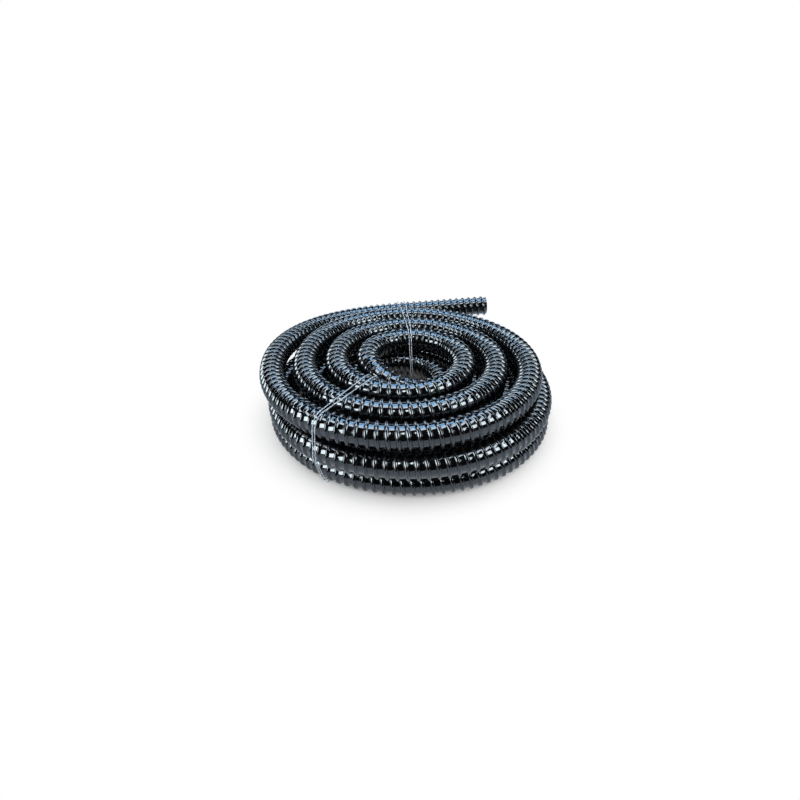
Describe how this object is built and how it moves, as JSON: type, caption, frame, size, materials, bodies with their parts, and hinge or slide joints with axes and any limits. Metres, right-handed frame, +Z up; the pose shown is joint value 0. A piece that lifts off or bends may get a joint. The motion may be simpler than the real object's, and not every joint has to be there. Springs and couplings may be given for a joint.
{
  "type": "vacuum hose",
  "caption": "Ribbed vacuum hose for pools and spas, coiled flat in stacked layers and tied with twine, with a bare open end that slips over a fitting.",
  "frame": {"origin": "bottom centre of the bounding box, on the floor under the middle of the coil", "axes": "+Z up, through the eye of the coil; the front faces -Y, and the free end leaves at the back and points along +X"},
  "size_m": [0.5808, 0.6088, 0.1451],
  "materials": {
    "hose": "glossy",
    "twine": "satin"
  },
  "bodies": {
    "root": {"hose_coil": "hose", "hose_free_end": "hose", "front_tie": "twine", "back_tie": "twine"}
  },
  "joints": []
}
